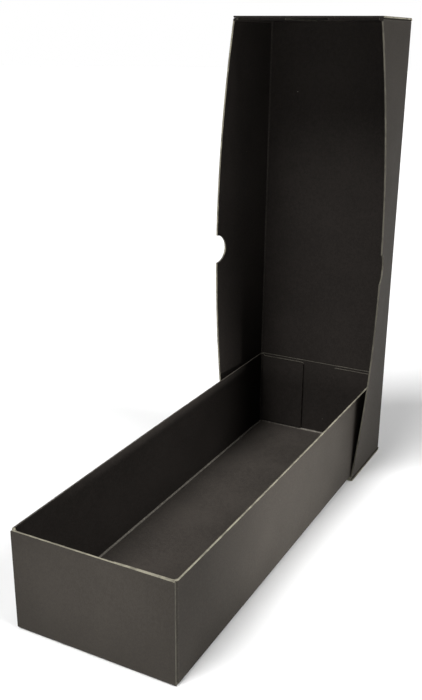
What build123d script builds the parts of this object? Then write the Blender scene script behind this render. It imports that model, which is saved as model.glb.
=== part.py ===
from build123d import *
import math
import os

# A two-piece document box, in millimetres. Each piece is one sheet of solid board, creased,
# folded up and held by four glued tabs. The tray lies open side up. Its cover, a lid of the same
# outline, stands on end behind it with its open side to the front, and the rear of the tray rests
# on the lid's lower end.
#
# +Z is up and +Y runs from the front of the tray to the back of the lid. The origin is the centre
# of the footprint, on the table.

# Board
board = 1.5  # thickness of the sheet
fold_radius = 1.2  # outside radius of a fold, less than the board

# Tray, outside
tray_width = 130.0
tray_length = 405.0
tray_depth = 78.5

# Room between the tray and the lid when the box is shut
side_clearance = 0.5
end_clearance = 2.0

# Long walls of the lid
lid_bow = 13.5  # how far the middle of each free edge springs outward
notch_radius = 13.0  # half-round thumb notch

# Glued tabs
tab_length = 47.0
tab_drop = 2.0  # from the free edge of the walls to the tab
tab_relief = 0.5  # from the base panel to the tab
tab_corner_radius = 2.0
glue_thickness = 0.15
glue_margin = 4.0  # bare strip round the glue

# How the tray and the standing lid meet
stand_gap = 0.3  # rear of the tray to the lid's top panel
rest_gap = 0.3  # underside of the tray to the lid's lower tabs

# The lid covers the tray to the table
lid_width = tray_width + 2 * (side_clearance + board)
lid_length = tray_length + 2 * (end_clearance + board)
lid_depth = tray_depth + board

# From the outside of an end wall to the outside of the tabs glued behind it
tab_offset = board + glue_thickness

# The tray's front edge is on the table and its underside clears the lower tabs' free edges
tab_reach = lid_depth - board - tab_drop
tray_tilt = math.atan2(tab_offset + board + rest_gap, tray_length + stand_gap - tab_reach)
rim_lean = tray_depth * math.sin(tray_tilt)
tray_span = tray_length * math.cos(tray_tilt)
overall_length = rim_lean + tray_span + stand_gap + board
tray_front_y = rim_lean - overall_length / 2
lid_back_y = overall_length / 2

# Each sheet has a frame of its own: x across, y along it, z from the outside of the base panel
# to the free edges. The lid's y is vertical.
tray_frame = Plane(
    origin=(0, tray_front_y, 0),
    x_dir=(1, 0, 0),
    z_dir=(0, -math.sin(tray_tilt), math.cos(tray_tilt)),
)
lid_frame = Plane(origin=(0, lid_back_y, 0), x_dir=(1, 0, 0), z_dir=(0, -1, 0))

SIDES = {"left": -1, "right": 1}
NEAR, FAR = 1, -1  # which way is inward from an end of a sheet

os.makedirs("parts", exist_ok=True)


def write_node(part, name):
    part.label = name
    export_step(part, f"parts/{name}.step")


def end_plane(frame, length, inward):
    """The outer face of one end, drawn as seen from inside the box, with y away from the base."""
    distance = 0 if inward == NEAR else length
    return Plane(
        origin=frame.from_local_coords(Vector(0, distance, 0)),
        x_dir=frame.x_dir * -inward,
        z_dir=frame.y_dir * inward,
    )


def fold_edge(part, frame, outward):
    """The outer one of a wall's two long edges at the base panel."""
    at_base = part.edges().group_by(Axis(frame.origin, frame.z_dir))[0]
    return at_base.sort_by(SortBy.LENGTH)[-2:].sort_by(Axis(frame.origin, outward))[-1]


# Base panels

for name, frame, width, length in (
    ("tray_floor", tray_frame, tray_width, tray_length),
    ("lid_top_panel", lid_frame, lid_width, lid_length),
):
    with BuildPart() as base_panel:
        with BuildSketch(frame):
            with Locations((0, length / 2)):
                Rectangle(width - 2 * board, length - 2 * board)
        extrude(amount=board)
    write_node(base_panel.part, name)


# End walls, full width, with the fold to the base panel along one edge

for name, frame, width, length, depth, inward in (
    ("tray_front_wall", tray_frame, tray_width, tray_length, tray_depth, NEAR),
    ("tray_rear_wall", tray_frame, tray_width, tray_length, tray_depth, FAR),
    ("lid_lower_end_wall", lid_frame, lid_width, lid_length, lid_depth, NEAR),
    ("lid_upper_end_wall", lid_frame, lid_width, lid_length, lid_depth, FAR),
):
    with BuildPart() as end_wall:
        with BuildSketch(end_plane(frame, length, inward)):
            Rectangle(width, depth, align=(Align.CENTER, Align.MIN))
        extrude(amount=board)
        fillet(fold_edge(end_wall, frame, frame.y_dir * -inward), radius=fold_radius)
    write_node(end_wall.part, name)


# Tray's long walls, straight, from tab fold to tab fold

for side_name, side in SIDES.items():
    with BuildPart() as tray_long_wall:
        with BuildSketch(tray_frame):
            with Locations((side * (tray_width - board) / 2, tray_length / 2)):
                Rectangle(board, tray_length - 2 * tab_offset)
        extrude(amount=tray_depth)
        upright_edges = tray_long_wall.edges().filter_by(Axis(tray_frame.origin, tray_frame.z_dir))
        tab_folds = upright_edges.sort_by(Axis.X, reverse=side > 0)[:2]
        base_fold = fold_edge(tray_long_wall, tray_frame, tray_frame.x_dir * side)
        fillet([base_fold, *tab_folds], radius=fold_radius)
    write_node(tray_long_wall.part, f"tray_{side_name}_wall")


# Lid's long walls, straight at the base panel and bowed at the free edge

wall_start = tab_offset
wall_end = lid_length - tab_offset
wall_middle = lid_length / 2
for side_name, side in SIDES.items():
    inner_x = side * (lid_width / 2 - board)
    outer_x = side * lid_width / 2
    with BuildPart() as lid_long_wall:
        with BuildSketch(lid_frame):
            with Locations(((inner_x + outer_x) / 2, wall_middle)):
                Rectangle(board, wall_end - wall_start)
        extrude(amount=board)
        fillet(fold_edge(lid_long_wall, lid_frame, lid_frame.x_dir * side), radius=fold_radius)
        with BuildSketch(lid_frame.offset(board)):
            with Locations(((inner_x + outer_x) / 2, wall_middle)):
                Rectangle(board, wall_end - wall_start)
        with BuildSketch(lid_frame.offset(lid_depth)):
            with BuildLine():
                ThreePointArc(
                    (inner_x, wall_start), (inner_x + side * lid_bow, wall_middle), (inner_x, wall_end)
                )
                Line((inner_x, wall_end), (outer_x, wall_end))
                ThreePointArc(
                    (outer_x, wall_end), (outer_x + side * lid_bow, wall_middle), (outer_x, wall_start)
                )
                Line((outer_x, wall_start), (inner_x, wall_start))
            make_face()
        loft(ruled=True)
        notch_plane = Plane(
            origin=lid_frame.from_local_coords(Vector(0, wall_middle, lid_depth)),
            x_dir=lid_frame.y_dir,
            z_dir=lid_frame.x_dir * side,
        )
        with BuildSketch(notch_plane):
            Circle(notch_radius)
        extrude(amount=lid_width, mode=Mode.SUBTRACT)
    write_node(lid_long_wall.part, f"lid_{side_name}_wall")


# Tabs, folded in from the long walls against the inside of the end walls, and their glue

for sheet, frame, width, length, depth, ends in (
    ("tray", tray_frame, tray_width, tray_length, tray_depth, {"front": NEAR, "rear": FAR}),
    ("lid", lid_frame, lid_width, lid_length, lid_depth, {"lower": NEAR, "upper": FAR}),
):
    tab_height = depth - board - tab_drop - tab_relief
    tab_bottom = board + tab_relief
    for end_name, inward in ends.items():
        end_face = end_plane(frame, length, inward)
        for side_name, side in SIDES.items():
            toward_fold = -inward * side
            tab_middle = (
                toward_fold * (width / 2 - board - tab_length / 2),
                tab_bottom + tab_height / 2,
            )
            with BuildPart() as tab:
                with BuildSketch(end_face.offset(tab_offset)) as tab_outline:
                    with Locations(tab_middle):
                        Rectangle(tab_length, tab_height)
                    free_corners = tab_outline.vertices().sort_by(Axis.X, reverse=toward_fold < 0)[:2]
                    fillet(free_corners, radius=tab_corner_radius)
                extrude(amount=board)
            write_node(tab.part, f"{sheet}_{end_name}_{side_name}_tab")
            with BuildPart() as glue:
                with BuildSketch(end_face.offset(board)):
                    with Locations(tab_middle):
                        Rectangle(tab_length - 2 * glue_margin, tab_height - 2 * glue_margin)
                extrude(amount=glue_thickness)
            write_node(glue.part, f"{sheet}_{end_name}_{side_name}_glue")
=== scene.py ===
import math

import bmesh
import bpy
from mathutils import Matrix, Vector


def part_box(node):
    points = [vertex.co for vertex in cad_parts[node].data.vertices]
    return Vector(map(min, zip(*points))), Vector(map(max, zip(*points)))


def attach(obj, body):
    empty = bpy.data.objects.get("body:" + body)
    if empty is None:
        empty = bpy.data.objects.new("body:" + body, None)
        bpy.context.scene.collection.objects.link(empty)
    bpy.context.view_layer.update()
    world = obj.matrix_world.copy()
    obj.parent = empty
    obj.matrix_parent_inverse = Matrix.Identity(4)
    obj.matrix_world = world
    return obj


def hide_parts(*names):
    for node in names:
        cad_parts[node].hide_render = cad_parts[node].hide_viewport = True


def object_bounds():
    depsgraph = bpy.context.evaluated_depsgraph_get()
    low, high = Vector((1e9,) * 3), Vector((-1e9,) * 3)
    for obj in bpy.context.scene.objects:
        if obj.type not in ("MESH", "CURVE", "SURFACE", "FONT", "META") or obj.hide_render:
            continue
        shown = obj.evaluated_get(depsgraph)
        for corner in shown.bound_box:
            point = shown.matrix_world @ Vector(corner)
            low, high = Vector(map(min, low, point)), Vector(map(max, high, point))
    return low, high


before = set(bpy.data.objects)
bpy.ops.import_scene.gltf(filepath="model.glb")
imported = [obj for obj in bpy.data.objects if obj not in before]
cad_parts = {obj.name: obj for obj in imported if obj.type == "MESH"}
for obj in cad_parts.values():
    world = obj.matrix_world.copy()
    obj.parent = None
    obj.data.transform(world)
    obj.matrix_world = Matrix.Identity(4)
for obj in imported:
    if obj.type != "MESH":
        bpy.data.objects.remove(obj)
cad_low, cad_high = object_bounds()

# A two-piece document box: a tray, and a lid stood on end behind it. Each is one sheet of solid
# board, folded up and held by four glued tabs. Both sheets are made here by the same functions,
# in axes of their own: x across, y along, z from the outside of the base panel to the free edges.

MM = 0.001
SIDES = {-1: "left", 1: "right"}

# The board, whose thickness is read from the CAD
panel_low, panel_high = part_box("lid_top_panel")
BOARD = panel_high.y - panel_low.y
EDGE_SOFTNESS = 0.16 * MM

# Folds
FOLD_RADIUS = 2.0 * MM  # outside of a fold
BEAD_RADIUS = 1.2 * MM  # the crease's bead, inside the fold
FOLD_ZONE = 2.6 * MM  # from the outer corner to where both faces are flat
FOLD_STEPS = 6
SLIT = 0.4 * MM  # between the folds that meet at a corner

# Tabs
TAB_CLEARANCE = 0.6 * MM  # from the base fold to the tab
TAB_CORNER = 2.0 * MM
TAB_SLOPE = 2.5 * MM  # from a tab's fold, level with the rim, down to the tab's top edge
TAB_SLOPE_STEPS = 4
TAB_STRETCH = 14 * MM  # how far below the rim the cells of a tab give way to that slope
HIGH_TAB = "tray_front_right_tab"  # glued a little higher than the others
HIGH_TAB_DROP = 0.2 * MM  # at its fold
HIGH_TAB_TILT = 0.7 * MM  # further down at its free edge

# Walls
END_INSET = 0.9 * MM  # the tray's end walls are a little narrower than the box
LOWER_END_REACH = 0.3 * MM  # the lid's lower end wall stands out at its sides
END_CORNER = 1.0 * MM  # free corners of the end walls
TRAY_RIM_BOW = 0.9 * MM  # how far the middle of the tray's rim springs outward

# Cells of the mesh
CELL = 9 * MM
NOTCH_CELL = 2.5 * MM
NOTCH_ZONE = 20 * MM  # half the square of cells round a thumb notch
NOTCH_RINGS = 4
CORNER_STEPS = 5
TOLERANCE = 0.1 * MM  # less than any step between two lines of cells
SAME_POINT = 0.001 * MM  # points closer than this are one
SMOOTH_ANGLE = math.radians(42)

# Finishes, in the order of each sheet's materials
# The dark cut finish is the pale cut edge mostly covered by the face's dark colour, as painted shade
# The inside finish is the board's paper darkened to about half as painted shade; the tray floor's
# finish is its lighter, lit copy, painted light, with more dust
OUTSIDE, INSIDE, CUT, BEAD, RIDGE, SHADED_CUT, DIM_BEAD, LIT_FLOOR = range(8)

# The panels whose free edge doesn't show the pale cut, but is painted dark as painted shade: the
# darkened cut edge, the outer fold's colour, or the inside's shaded colour
FREE_EDGES = {"tray_rear": SHADED_CUT, "lid_right": SHADED_CUT, "tray_left": RIDGE, "lid_upper": INSIDE}

# Finishes of the base panel's inside, of the crease round it, and of the end walls' upright edges
# The tray's base panel takes the lit copy of the inside paper (painted light), the lid's the shaded
# copy (painted shade); the tray's end walls' upright edges take the cut edge darkened as painted
# shade
SHEET_FINISHES = {"tray": (LIT_FLOOR, BEAD, SHADED_CUT), "lid": (INSIDE, DIM_BEAD, CUT)}


# Sizes, read from the CAD nodes

def points_of(node, to_sheet):
    return [to_sheet @ v.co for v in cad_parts[node].data.vertices]


def span(node, to_sheet):
    """Lowest and highest corner of a CAD node in a sheet's own axes."""
    points = points_of(node, to_sheet)
    low = Vector([min(p[k] for p in points) for k in range(3)])
    high = Vector([max(p[k] for p in points) for k in range(3)])
    return low, high


def axes(along, up, origin):
    across = along.cross(up)
    columns = Matrix((across, along, up)).transposed().to_4x4()
    return Matrix.Translation(origin) @ columns


def tray_axes():
    corners = [v.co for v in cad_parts["tray_floor"].data.vertices]
    front = min(corners, key=lambda c: c.z)
    rear = max(corners, key=lambda c: c.y)
    along = Vector((0, rear.y - front.y, rear.z - front.z)).normalized()
    up = Vector((1, 0, 0)).cross(along)
    return axes(along, up, Vector((0, front.y, front.z)) - along * BOARD)


def lid_axes():
    return axes(Vector((0, 0, 1)), Vector((0, -1, 0)), Vector((0, panel_high.y, 0)))


def lines_between(stops, fine=None):
    """The stops, with equal steps of about one cell between them, smaller in a fine zone."""
    lines = []
    for a, b in zip(stops, stops[1:]):
        cell = NOTCH_CELL if fine and fine[0] <= (a + b) / 2 <= fine[1] else CELL
        steps = max(1, round((b - a) / cell))
        lines += [a + (b - a) * k / steps for k in range(steps)]
    return [*lines, stops[-1]]


def lines_within(lines, low, high):
    return [v for v in lines if low - TOLERANCE < v < high + TOLERANCE]


class Sheet:
    """One sheet's sizes, its finishes, and the lines between its cells."""

    def __init__(self, name, to_world, ends, end_reach, rim_bow=None):
        to_sheet = to_world.inverted()
        self.name = name
        self.to_world = to_world
        self.base_finish, self.crease_finish, self.end_cut_finish = SHEET_FINISHES[name]

        self.half_width = span(f"{name}_{ends[0]}_wall", to_sheet)[1].x
        self.length = span(f"{name}_{ends[1]}_wall", to_sheet)[1].y
        self.middle = self.length / 2
        self.end_names = [end.split("_")[0] for end in ends]
        self.end_half_widths = [self.half_width + reach for reach in end_reach]
        self.end_places = ((0, 1), (self.length, -1))  # outer face, and which way is inward

        wall_low, wall_high = span(f"{name}_right_wall", to_sheet)
        self.depth = wall_high.z
        self.wall_start = wall_low.y
        self.bow = wall_high.x - self.half_width if rim_bow is None else rim_bow
        self.notch = self.notch_radius(to_sheet)

        tab_low, tab_high = span(f"{name}_{self.end_names[0]}_right_tab", to_sheet)
        self.tab_free_edge = tab_low.x
        self.tab_top = tab_high.z
        self.tab_bottom = FOLD_ZONE + TAB_CLEARANCE
        self.set_lines()

    def notch_radius(self, to_sheet):
        """Radius of the thumb notch in the long walls, or 0 where they have none."""
        nearest = min(
            abs(p.y - self.middle)
            for p in points_of(f"{self.name}_right_wall", to_sheet)
            if p.z > self.depth - TOLERANCE
        )
        return nearest if nearest < NOTCH_ZONE else 0

    def set_lines(self):
        """Lines across and along the sheet, and up its walls."""
        edge = self.half_width - FOLD_ZONE
        wall_end = self.wall_start + FOLD_ZONE
        along_stops = [FOLD_ZONE, FOLD_ZONE + SLIT, wall_end]
        along_stops += [self.length - v for v in reversed(along_stops)]
        tab_stops = [self.tab_bottom, self.tab_bottom + TAB_CORNER, self.depth - TAB_CORNER]
        up_stops = [FOLD_ZONE, *tab_stops, self.depth]
        along_fine = up_fine = None
        if self.notch:
            along_fine = (self.middle - NOTCH_ZONE, self.middle + NOTCH_ZONE)
            up_fine = (self.depth - NOTCH_ZONE, self.depth)
            along_stops = sorted([*along_stops, *along_fine])
            up_stops = sorted([*up_stops, up_fine[0]])
        self.across = lines_between([-edge, edge])
        self.along = lines_between(along_stops, along_fine)
        self.fold_along = lines_within(self.along, FOLD_ZONE + SLIT, self.length - FOLD_ZONE - SLIT)
        self.wall_along = lines_within(self.along, wall_end, self.length - wall_end)
        self.up = lines_between(up_stops, up_fine)
        self.tab_up = lines_within(self.up, self.tab_bottom, self.depth)
        self.end_up = lines_between([FOLD_ZONE, self.depth - END_CORNER, self.depth])

    def cut_finishes(self, panel, other):
        """Finishes of a panel's free edge and of its other cut edges."""
        return FREE_EDGES.get(f"{self.name}_{panel}", CUT), other

    def lean(self, y, z):
        """How far a long wall leans out: nothing at its folds, most at its free edge's middle."""
        half = self.middle - self.wall_start - FOLD_ZONE
        share = (y - self.middle) / half
        height = (z - FOLD_ZONE) / (self.depth - FOLD_ZONE)
        return self.bow * max(0, 1 - share * share) * max(0, height)


# The mesh of a sheet: pairs of points, one on each face of the board, and cells between them

class Shell:
    """The cells of a sheet so far."""

    def __init__(self):
        self.index = {}
        self.pairs = []
        self.cells = []
        self.rims = (CUT, CUT)  # finishes of free edges and of other cut edges, for the next cells

    def point(self, outer, inner):
        key = tuple(round(v / SAME_POINT) for v in outer)
        if key not in self.index:
            self.index[key] = len(self.pairs)
            self.pairs.append((Vector(outer), Vector(inner)))
        return self.index[key]

    def cell(self, corners, outer_finish=OUTSIDE, inner_finish=INSIDE):
        ids = []
        for outer, inner in corners:
            i = self.point(outer, inner)
            if i not in ids:
                ids.append(i)
        if len(ids) > 2:
            self.cells.append((ids, outer_finish, inner_finish, self.rims))

    def grid(self, place, first, second, skip=None, inner_finish=INSIDE):
        """Cells between two lists of lines, but for those to skip. place gives a pair of points."""
        for a, b in zip(first, first[1:]):
            for c, d in zip(second, second[1:]):
                if skip is None or not skip((a + b) / 2, (c + d) / 2):
                    corners = [place(a, c), place(b, c), place(b, d), place(a, d)]
                    self.cell(corners, inner_finish=inner_finish)

    def round_corner(self, place, centre, radius, toward):
        """A quarter disc of cells in a free corner, which the grid has left out."""
        rim = []
        for k in range(CORNER_STEPS + 1):
            angle = math.pi / 2 * k / CORNER_STEPS
            rim.append(place(
                centre[0] + toward[0] * radius * math.cos(angle),
                centre[1] + toward[1] * radius * math.sin(angle),
            ))
        for p, q in zip(rim, rim[1:]):
            self.cell([place(*centre), p, q])

    def fold(self, place, lines, crease):
        """The cells of a fold. place turns a distance on each panel and a line into a point."""
        profile = fold_profile()
        for k, (start, end) in enumerate(zip(profile, profile[1:])):
            curved = 0 < k < len(profile) - 2
            for a, b in zip(lines, lines[1:]):
                self.cell(
                    [
                        (place(*start[0], a), place(*start[1], a)),
                        (place(*end[0], a), place(*end[1], a)),
                        (place(*end[0], b), place(*end[1], b)),
                        (place(*start[0], b), place(*start[1], b)),
                    ],
                    RIDGE if curved else OUTSIDE,
                    crease if curved else INSIDE,
                )


def fold_profile():
    """Pairs of points across a fold, as distances from the outer corner along both panels."""
    pairs = [((FOLD_ZONE, 0), (FOLD_ZONE, BOARD))]
    for k in range(FOLD_STEPS + 1):
        angle = math.pi / 2 * k / FOLD_STEPS
        c, s = math.cos(angle), math.sin(angle)
        outer = (FOLD_RADIUS * (1 - s), FOLD_RADIUS * (1 - c))
        inner = (BOARD + BEAD_RADIUS * c, BOARD + BEAD_RADIUS * s)
        pairs.append((outer, inner))
    pairs.append(((0, FOLD_ZONE), (BOARD, FOLD_ZONE)))
    return pairs


def folded_sheet(s):
    """All the cells of a sheet."""
    shell = Shell()

    def on_base(x, y):
        return (x, y, 0), (x, y, BOARD)

    shell.grid(on_base, s.across, s.along, inner_finish=s.base_finish)
    for side in SIDES:
        long_wall(shell, s, side)
    for end in (0, 1):
        end_wall(shell, s, end)
    return shell


def long_wall(shell, s, side):
    """A long wall, and its fold to the base panel."""
    def on_fold(a, c, y):
        return side * (s.half_width - a), y, c

    def on_wall(y, z):
        outer_x = s.half_width + s.lean(y, z)
        return (side * outer_x, y, z), (side * (outer_x - BOARD), y, z)

    def in_notch(y, z):
        return s.notch and z > s.depth - NOTCH_ZONE and abs(y - s.middle) < NOTCH_ZONE

    # Its cut edges other than the free edge take the cut edge darkened as painted shade
    shell.rims = s.cut_finishes(SIDES[side], SHADED_CUT)
    shell.fold(on_fold, s.fold_along, s.crease_finish)
    shell.grid(on_wall, s.wall_along, s.up, in_notch)
    if s.notch:
        thumb_notch(shell, s, on_wall)


def thumb_notch(shell, s, on_wall):
    """Cells from a half-round notch in the free edge out to the square left for it."""
    along = lines_within(s.wall_along, s.middle - NOTCH_ZONE, s.middle + NOTCH_ZONE)
    up = lines_within(s.up, s.depth - NOTCH_ZONE, s.depth)
    square = [(along[0], z) for z in reversed(up)]
    square += [(y, up[0]) for y in along[1:-1]]
    square += [(along[-1], z) for z in up]
    rays = []
    for y, z in square:
        away = Vector((y - s.middle, z - s.depth))
        start = away.normalized() * s.notch
        ray = []
        for k in range(NOTCH_RINGS + 1):
            p = start.lerp(away, k / NOTCH_RINGS)
            ray.append(on_wall(s.middle + p.x, s.depth + p.y))
        rays.append(ray)
    for p, q in zip(rays, rays[1:]):
        for k in range(NOTCH_RINGS):
            shell.cell([p[k], p[k + 1], q[k + 1], q[k]])


def end_wall(shell, s, end):
    """An end wall, its fold to the base panel, and the tabs behind it."""
    at, inward = s.end_places[end]
    half_width = s.end_half_widths[end]
    corner = half_width - END_CORNER
    across = [-half_width, -corner, *s.across, corner, half_width]

    def on_fold(a, c, x):
        return x, at + inward * a, c

    def on_wall(x, z):
        return (x, at, z), (x, at + inward * BOARD, z)

    def in_corner(x, z):
        return abs(x) > corner and z > s.depth - END_CORNER

    shell.rims = s.cut_finishes(s.end_names[end], s.end_cut_finish)
    shell.fold(on_fold, across, s.crease_finish)
    shell.grid(on_wall, across, s.end_up, in_corner)
    for side in SIDES:
        centre = (side * corner, s.depth - END_CORNER)
        shell.round_corner(on_wall, centre, END_CORNER, (side, 1))
        tab(shell, s, end, side)


def tab(shell, s, end, side):
    """A tab, and its fold to the long wall."""
    at, inward = s.end_places[end]
    start = at + inward * s.wall_start
    reach = s.half_width - s.tab_free_edge
    drop, tilt = s.depth - s.tab_top, 0
    if f"{s.name}_{s.end_names[end]}_{SIDES[side]}_tab" == HIGH_TAB:
        drop, tilt = HIGH_TAB_DROP, HIGH_TAB_TILT

    def on_fold(a, c, z):
        return side * (s.half_width - c), start + inward * a, z

    def on_tab(c, z):
        slope = min(1, (c - FOLD_ZONE) / TAB_SLOPE)
        down = drop * slope * slope * (3 - 2 * slope) + tilt * (c - FOLD_ZONE) / reach
        z -= down * max(0, 1 - (s.depth - z) / TAB_STRETCH)
        x = side * (s.half_width - c)
        return (x, start, z), (x, start + inward * BOARD, z)

    def in_corner(c, z):
        near_corner = min(z - s.tab_bottom, s.depth - z) < TAB_CORNER
        return c > reach - TAB_CORNER and near_corner

    slope_stops = [FOLD_ZONE + TAB_SLOPE * k / TAB_SLOPE_STEPS for k in range(TAB_SLOPE_STEPS + 1)]
    across = lines_between([*slope_stops, reach - TAB_CORNER, reach])
    # The tab's cut edges other than its top edge take the cut edge darkened as painted shade
    shell.rims = s.cut_finishes(s.end_names[end], SHADED_CUT)
    shell.fold(on_fold, s.tab_up, DIM_BEAD)
    shell.grid(on_tab, across, s.tab_up, in_corner)
    for z, toward in ((s.tab_bottom, -1), (s.depth, 1)):
        centre = (reach - TAB_CORNER, z - toward * TAB_CORNER)
        shell.round_corner(on_tab, centre, TAB_CORNER, (1, toward))


def mesh_of(shell, s, materials):
    """Both faces of the board and its cut edges as one closed mesh."""
    bm = bmesh.new()
    outer = [bm.verts.new(s.to_world @ o) for o, i in shell.pairs]
    inner = [bm.verts.new(s.to_world @ i) for o, i in shell.pairs]
    uses = {}
    cut_faces = set()
    for ids, outer_finish, inner_finish, rims in shell.cells:
        face = bm.faces.new([outer[i] for i in ids])
        face.material_index = outer_finish
        face = bm.faces.new([inner[i] for i in reversed(ids)])
        face.material_index = inner_finish
        for a, b in zip(ids, ids[1:] + ids[:1]):
            uses.setdefault(frozenset((a, b)), []).append((a, b, rims))
    for edge in uses.values():
        if len(edge) == 1:
            a, b, rims = edge[0]
            run = shell.pairs[a][0] - shell.pairs[b][0]
            free = shell.pairs[a][0].z > s.depth - NOTCH_ZONE and abs(run.z) < run.length / 2
            face = bm.faces.new([outer[b], outer[a], inner[a], inner[b]])
            face.material_index = rims[0] if free else rims[1]
            cut_faces.add(face)
    bmesh.ops.recalc_face_normals(bm, faces=bm.faces)
    softened = [e for e in bm.edges if len({f in cut_faces for f in e.link_faces}) == 2]
    bmesh.ops.bevel(
        bm, geom=softened, offset=EDGE_SOFTNESS, offset_type="OFFSET", segments=2, profile=0.5,
        affect="EDGES", clamp_overlap=True, material=-1,
    )
    mesh = bpy.data.meshes.new(f"{s.name}_sheet")
    bm.to_mesh(mesh)
    bm.free()
    for material in materials:
        mesh.materials.append(material)
    mesh.polygons.foreach_set("use_smooth", [True] * len(mesh.polygons))
    mesh.set_sharp_from_angle(angle=SMOOTH_ANGLE)
    return mesh


# Materials, with patterns in the object's own metres

# Sizes of the patterns
CLOUD = 45 * MM
MOTTLE = 3.5 * MM
FIBRE = 0.55 * MM
SCUFF = 2.2 * MM
DUST_SPECK = 0.8 * MM
CUT_LAYER = 0.25 * MM
CUT_STAIN = 9 * MM
GLUE_CLOUD = 6 * MM
GLUE_BUBBLE = 0.3 * MM
FLOOR_CLOUD = 600 * MM

# Colours
DUST = (0.34, 0.32, 0.28)
WORN = (0.24, 0.22, 0.185)
CORE = (0.34, 0.32, 0.25)
CORE_SHADE = (0.21, 0.195, 0.145)
FACE_PAPER = (0.045, 0.041, 0.035)
GLUE_DARK = (0.52, 0.47, 0.34)
GLUE_LIGHT = (0.72, 0.68, 0.56)
BUBBLE = (0.85, 0.82, 0.72)
FLOOR_DARK = (0.86, 0.86, 0.86)
FLOOR_LIGHT = (0.88, 0.88, 0.88)


class Nodes:
    """A material's node tree, with short calls for the nodes used here."""

    def __init__(self, material):
        material.use_nodes = True
        self.tree = material.node_tree
        self.tree.nodes.clear()
        self.shader = self.add("ShaderNodeBsdfPrincipled")
        output = self.add("ShaderNodeOutputMaterial")
        self.join(self.shader.outputs["BSDF"], output.inputs["Surface"])
        self.place = self.add("ShaderNodeTexCoord").outputs["Object"]

    def add(self, kind, **settings):
        node = self.tree.nodes.new(kind)
        for key, value in settings.items():
            setattr(node, key, value)
        return node

    def join(self, output, socket):
        self.tree.links.new(output, socket)

    def noise(self, size, detail=3.0, roughness=0.55, stretch=None, seed=0.0):
        """Noise with features of a size in metres, in 0 to 1."""
        place = self.place
        if stretch or seed:
            mapping = self.add("ShaderNodeMapping")
            mapping.inputs["Location"].default_value = (seed, seed * 0.7, seed * 1.3)
            mapping.inputs["Scale"].default_value = stretch or (1, 1, 1)
            self.join(self.place, mapping.inputs["Vector"])
            place = mapping.outputs["Vector"]
        node = self.add("ShaderNodeTexNoise")
        node.inputs["Scale"].default_value = 1 / size
        node.inputs["Detail"].default_value = detail
        node.inputs["Roughness"].default_value = roughness
        self.join(place, node.inputs["Vector"])
        return node.outputs["Fac"]

    def ramp(self, value, low, high, start=0.0, end=1.0):
        """value from low to high, spread over start to end."""
        node = self.add("ShaderNodeMapRange", interpolation_type="SMOOTHSTEP")
        node.inputs["From Min"].default_value = low
        node.inputs["From Max"].default_value = high
        node.inputs["To Min"].default_value = start
        node.inputs["To Max"].default_value = end
        self.join(value, node.inputs["Value"])
        return node.outputs["Result"]

    def mix(self, share, first, second):
        """A colour between two, which are colours or outputs."""
        node = self.add("ShaderNodeMix", data_type="RGBA")
        factor, a, b = (node.inputs[k] for k in (0, 6, 7))
        for socket, value in ((factor, share), (a, first), (b, second)):
            if isinstance(value, bpy.types.NodeSocket):
                self.join(value, socket)
            elif isinstance(value, tuple):
                socket.default_value = (*value, 1)
            else:
                socket.default_value = value
        return node.outputs[2]

    def sum(self, first, second, weight):
        """first, and second times its weight."""
        node = self.add("ShaderNodeMath", operation="MULTIPLY_ADD")
        self.join(second, node.inputs[0])
        node.inputs[1].default_value = weight
        self.join(first, node.inputs[2])
        return node.outputs["Value"]

    def bump(self, height, depth, strength):
        node = self.add("ShaderNodeBump")
        node.inputs["Distance"].default_value = depth
        node.inputs["Strength"].default_value = strength
        self.join(height, node.inputs["Height"])
        self.join(node.outputs["Normal"], self.shader.inputs["Normal"])


def specks(n, size, share, seed):
    """Sparse round specks: 1 in a speck, 0 elsewhere. share is how many of the cells have one."""
    cell = 6 * size  # so that specks stand apart
    mapping = n.add("ShaderNodeMapping")
    mapping.inputs["Location"].default_value = (seed, seed, seed)
    n.join(n.place, mapping.inputs["Vector"])
    cells = n.add("ShaderNodeTexVoronoi", feature="F1")
    cells.inputs["Scale"].default_value = 1 / cell
    n.join(mapping.outputs["Vector"], cells.inputs["Vector"])
    near = n.ramp(cells.outputs["Distance"], 0.06, 0.11, 1.0, 0.0)
    split = n.add("ShaderNodeSeparateColor")
    n.join(cells.outputs["Color"], split.inputs["Color"])
    chosen = n.ramp(split.outputs["Red"], 1 - share, 1 - share + 0.01)
    both = n.add("ShaderNodeMath", operation="MULTIPLY")
    n.join(near, both.inputs[0])
    n.join(chosen, both.inputs[1])
    return both.outputs["Value"]


def board_material(name, dark, light, dust, rough, gloss, wear=0.0):
    """Charcoal paper face: cloudy tone, fine fibres, and a little dust."""
    material = bpy.data.materials.new(name)
    n = Nodes(material)
    cloud = n.noise(CLOUD, 2, seed=3)
    mottle = n.noise(MOTTLE, 4, 0.6, seed=7)
    fibre = n.noise(FIBRE, 3, 0.65, stretch=(1, 0.45, 0.45), seed=11)
    tone = n.sum(n.sum(fibre, mottle, 0.7), cloud, 0.4)
    colour = n.mix(n.ramp(tone, 0.82, 1.28), dark, light)
    if wear:
        scuff = n.noise(SCUFF, 5, 0.7, seed=19)
        colour = n.mix(n.ramp(scuff, 0.46, 0.66, 0.15 * wear, wear), colour, WORN)
    dusted = n.ramp(specks(n, DUST_SPECK, dust, 5), 0, 1, 0, 0.6)
    n.join(n.mix(dusted, colour, DUST), n.shader.inputs["Base Color"])
    n.join(n.ramp(mottle, 0.3, 0.7, rough - 0.05, rough + 0.06), n.shader.inputs["Roughness"])
    n.shader.inputs["Specular IOR Level"].default_value = gloss
    n.bump(n.sum(fibre, mottle, 0.5), 0.06 * MM, 0.55)
    return material


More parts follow.
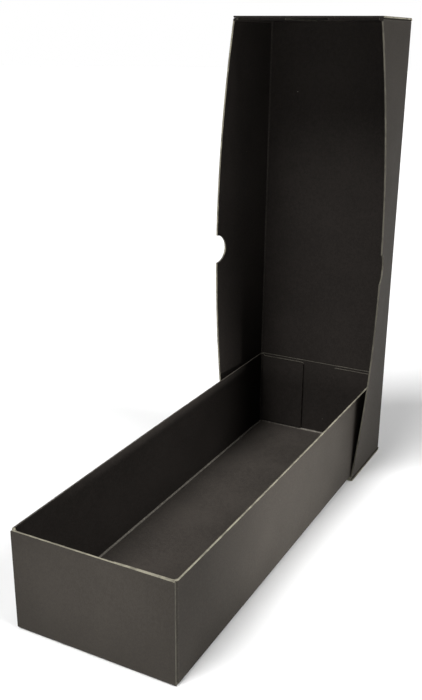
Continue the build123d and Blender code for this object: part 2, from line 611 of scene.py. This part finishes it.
def cut_material(name, painted_shade):
    """The board's cut edge: pale olive core with torn fibres, and the face's paper drawn over it in
    patches. The last argument lays the face's dark colour over that share of the whole edge, as
    painted shade for cut edges that lie in shade.
    """
    material = bpy.data.materials.new(name)
    n = Nodes(material)
    layers = n.noise(CUT_LAYER, 4, 0.7, seed=2)
    stains = n.noise(CUT_STAIN, 3, 0.6, seed=23)
    core = n.mix(n.ramp(layers, 0.35, 0.65), CORE_SHADE, CORE)
    stain_and_shade = n.ramp(stains, 0.42, 0.62, painted_shade, painted_shade + (1 - painted_shade) * 0.45)
    n.join(n.mix(stain_and_shade, core, FACE_PAPER), n.shader.inputs["Base Color"])
    n.join(n.ramp(layers, 0.2, 0.8, 0.75, 0.95), n.shader.inputs["Roughness"])
    n.shader.inputs["Specular IOR Level"].default_value = 0.25
    n.bump(layers, 0.12 * MM, 0.8)
    return material


def glue_material():
    """Dried adhesive: cloudy cream, with small bubbles."""
    material = bpy.data.materials.new("dried_glue")
    n = Nodes(material)
    cloud = n.noise(GLUE_CLOUD, 3, seed=31)
    colour = n.mix(n.ramp(cloud, 0.35, 0.65), GLUE_DARK, GLUE_LIGHT)
    colour = n.mix(specks(n, GLUE_BUBBLE, 0.4, 37), colour, BUBBLE)
    n.join(colour, n.shader.inputs["Base Color"])
    n.join(n.ramp(cloud, 0.3, 0.7, 0.35, 0.6), n.shader.inputs["Roughness"])
    n.bump(cloud, 0.05 * MM, 0.6)
    return material


def floor_material():
    material = bpy.data.materials.new("studio_floor")
    n = Nodes(material)
    tone = n.ramp(n.noise(FLOOR_CLOUD, 2), 0.3, 0.7)
    n.join(n.mix(tone, FLOOR_DARK, FLOOR_LIGHT), n.shader.inputs["Base Color"])
    n.shader.inputs["Roughness"].default_value = 0.9
    n.shader.inputs["Specular IOR Level"].default_value = 0.1
    return material


# The two sheets

# In the order of the finishes' names, OUTSIDE to the tray floor's lit copy of the inside paper
finishes = [
    board_material(
        "board_outside", (0.0348, 0.0304, 0.0254), (0.0470, 0.0413, 0.0348),
        dust=0.010, rough=0.82, gloss=0.15,
    ),
    # The inside faces: the same paper as the outside, darkened as painted shade
    board_material(
        "board_inside", (0.0180, 0.0153, 0.0134), (0.0270, 0.0230, 0.0203),
        dust=0.012, rough=0.80, gloss=0.10,
    ),
    cut_material("board_cut_edge", painted_shade=0.0),
    board_material(
        "board_crease", (0.085, 0.077, 0.066), (0.150, 0.138, 0.120),
        dust=0.0, rough=0.70, gloss=0.25, wear=0.9,
    ),
    board_material(
        "board_fold", (0.033, 0.029, 0.024), (0.050, 0.044, 0.037),
        dust=0.0, rough=0.80, gloss=0.2, wear=0.10,
    ),
    # Cut edges in shade: the pale core mostly covered by the face's dark colour, as painted shade
    cut_material("board_cut_edge_dull", painted_shade=0.72),
    board_material(
        "board_inner_corner", (0.022, 0.019, 0.016), (0.036, 0.031, 0.027),
        dust=0.0, rough=0.70, gloss=0.15, wear=0.08,
    ),
    # The tray's floor: the inside paper kept lighter where it is lit, as painted light, with more
    # dust
    board_material(
        "board_tray_floor", (0.031, 0.0268, 0.023), (0.053, 0.0460, 0.0395),
        dust=0.030, rough=0.72, gloss=0.2,
    ),
]

sheets = (
    Sheet("tray", tray_axes(), ("front", "rear"), (-END_INSET, -END_INSET), TRAY_RIM_BOW),
    Sheet("lid", lid_axes(), ("lower_end", "upper_end"), (LOWER_END_REACH, 0)),
)
for s in sheets:
    piece = bpy.data.objects.new(f"{s.name}_sheet", mesh_of(folded_sheet(s), s, finishes))
    bpy.context.scene.collection.objects.link(piece)
    normals = piece.modifiers.new("normals", "WEIGHTED_NORMAL")
    normals.keep_sharp = True
    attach(piece, s.name)
    own = [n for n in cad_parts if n.startswith(f"{s.name}_") and not n.endswith("_glue")]
    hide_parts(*own)

# The glue films stay the CAD's own objects
glue = glue_material()
for name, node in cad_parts.items():
    if name.endswith("_glue"):
        node.data.materials.clear()
        node.data.materials.append(glue)


# Floor

FLOOR_RADIUS = 12.0
FLOOR_DROP = 0.2 * MM  # below the object, so that the two don't share a plane


def flat_disc(name, radius, z, material):
    bm = bmesh.new()
    bmesh.ops.create_circle(bm, cap_ends=True, segments=96, radius=radius)
    mesh = bpy.data.meshes.new(name)
    bm.to_mesh(mesh)
    bm.free()
    mesh.materials.append(material)
    disc = bpy.data.objects.new(name, mesh)
    disc.location.z = z
    bpy.context.scene.collection.objects.link(disc)
    return disc


flat_disc("floor", FLOOR_RADIUS, cad_low.z - FLOOR_DROP, floor_material())


# Lights: broad suns for the room's soft light, and a weak spot at the front wall and the right wall

SUN_SPREAD = math.radians(28)
SUNS = (  # name, strength, direction
    ("front", 3.2, (0.186, 0.512, -0.839)),
    ("overhead", 0.55, (0.0, 0.0, -1.0)),
    ("right", 1.50, (-0.766, 0.0, -0.643)),
    ("rear_right", 0.42, (-0.765, -0.441, -0.469)),
)
SPOT_RADIUS = 40 * MM
SPOTS = (  # name, watts, cone in degrees, place, target
    ("side_spot", 64, 15, (1.2, -0.2, 0.12), (0.065, -0.012, 0.070)),
    ("front_spot", 27, 7.5, (-0.05, -1.5, 0.12), (0.004, -0.203, 0.070)),
)
ROOM_FILL = 0.02


def add_lamp(name, kind, energy, direction):
    lamp = bpy.data.objects.new(name, bpy.data.lights.new(name, kind))
    lamp.data.energy = energy
    lamp.rotation_mode = "QUATERNION"
    lamp.rotation_quaternion = Vector(direction).to_track_quat("-Z", "Y")
    bpy.context.scene.collection.objects.link(lamp)
    return lamp


for name, strength, direction in SUNS:
    lamp = add_lamp(name, "SUN", strength, direction)
    lamp.data.angle = SUN_SPREAD

for name, watts, cone, place, target in SPOTS:
    lamp = add_lamp(name, "SPOT", watts, Vector(target) - Vector(place))
    lamp.location = place
    lamp.visible_camera = False
    lamp.data.shadow_soft_size = SPOT_RADIUS
    lamp.data.spot_size = math.radians(cone)
    lamp.data.spot_blend = 1.0


def studio_world():
    """White behind the object, and a dim fill for all other rays."""
    world = bpy.data.worlds.new("studio")
    world.use_nodes = True
    tree = world.node_tree
    tree.nodes.clear()
    fill = tree.nodes.new("ShaderNodeBackground")
    fill.inputs["Color"].default_value = (1, 1, 1, 1)
    fill.inputs["Strength"].default_value = ROOM_FILL
    backdrop = tree.nodes.new("ShaderNodeBackground")
    backdrop.inputs["Color"].default_value = (1, 1, 1, 1)
    seen = tree.nodes.new("ShaderNodeLightPath")
    choose = tree.nodes.new("ShaderNodeMixShader")
    output = tree.nodes.new("ShaderNodeOutputWorld")
    tree.links.new(seen.outputs["Is Camera Ray"], choose.inputs["Fac"])
    tree.links.new(fill.outputs["Background"], choose.inputs[1])
    tree.links.new(backdrop.outputs["Background"], choose.inputs[2])
    tree.links.new(choose.outputs["Shader"], output.inputs["Surface"])
    return world


bpy.context.scene.world = studio_world()
bpy.context.scene.view_settings.view_transform = "Standard"


# The camera stands in front of the tray's right corner and looks a little down

CAMERA_PLACE = Vector((302.35, -614.0, 394.13)) * MM
CAMERA_TURN = math.radians(27.67)
CAMERA_DROP = math.radians(19.14)
CAMERA_ROLL = math.radians(0.69)
SENSOR = 36.0
LENS = 46.31


def camera_axes():
    forward = Vector((
        -math.sin(CAMERA_TURN) * math.cos(CAMERA_DROP),
        math.cos(CAMERA_TURN) * math.cos(CAMERA_DROP),
        -math.sin(CAMERA_DROP),
    ))
    level = Vector((math.cos(CAMERA_TURN), math.sin(CAMERA_TURN), 0))
    raised = level.cross(forward)
    right = level * math.cos(CAMERA_ROLL) + raised * math.sin(CAMERA_ROLL)
    above = right.cross(forward)
    return Matrix((right, above, -forward)).transposed().to_4x4()


camera = bpy.data.objects.new("camera", bpy.data.cameras.new("camera"))
camera.data.sensor_width = SENSOR
camera.data.lens = LENS
camera.matrix_world = Matrix.Translation(CAMERA_PLACE) @ camera_axes()
bpy.context.scene.collection.objects.link(camera)
bpy.context.scene.camera = camera
